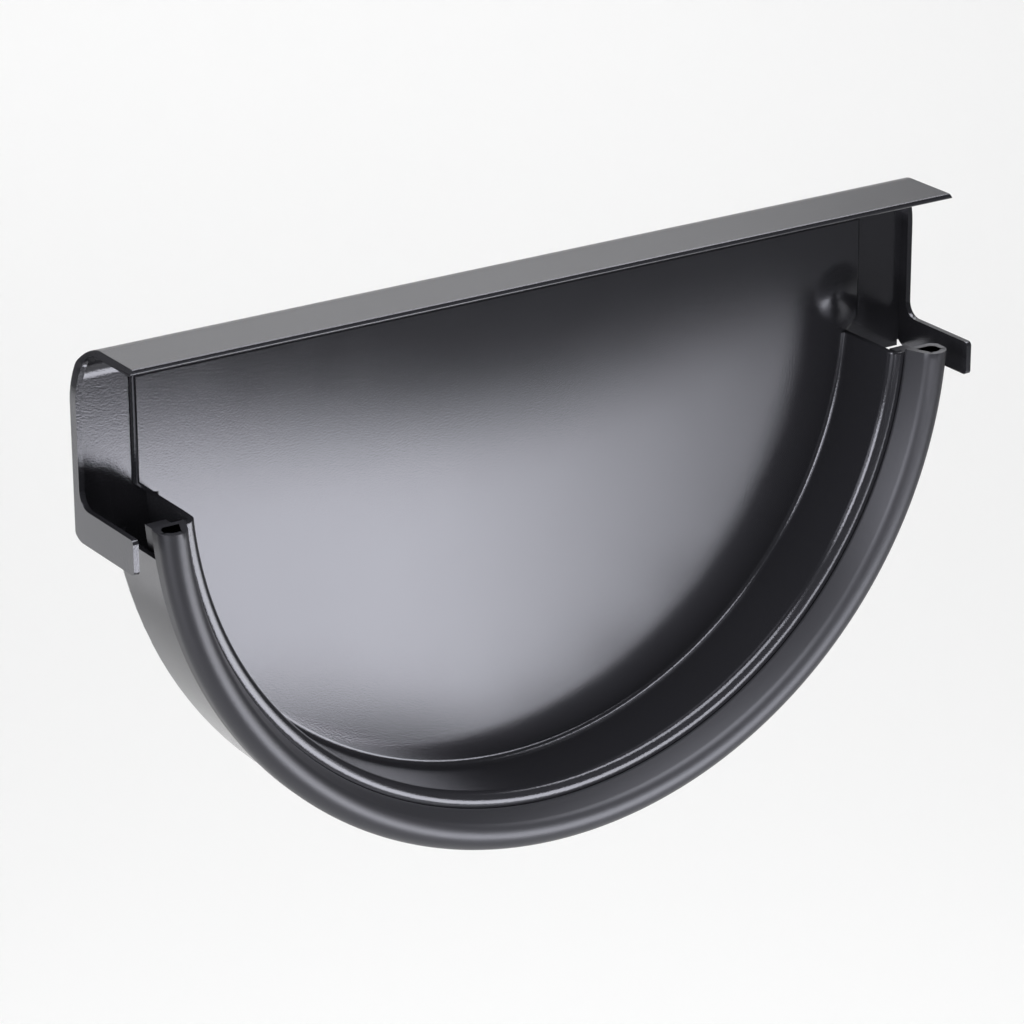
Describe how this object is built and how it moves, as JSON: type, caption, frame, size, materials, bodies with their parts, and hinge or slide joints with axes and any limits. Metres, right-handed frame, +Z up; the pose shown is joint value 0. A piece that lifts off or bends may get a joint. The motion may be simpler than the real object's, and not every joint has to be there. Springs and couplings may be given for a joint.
{
  "type": "gutter end cap",
  "caption": "Half-round gutter end cap of folded coated sheet, with a lip along the top, side ears and a rubber bulb seal round its rim; it closes the open end of a roof gutter.",
  "frame": {"origin": "centre of the half-round, in the front plane of the inner plate", "axes": "+X across the gutter, +Y out of the gutter's end, so that the gutter lies towards -Y, +Z up"},
  "size_m": [0.1332, 0.0171, 0.08],
  "materials": {
    "coated_sheet": "satin",
    "seal_rubber": "matte"
  },
  "bodies": {
    "root": {"outer_shell": "coated_sheet", "inner_plate": "coated_sheet", "rim_seal": "seal_rubber"}
  },
  "joints": []
}
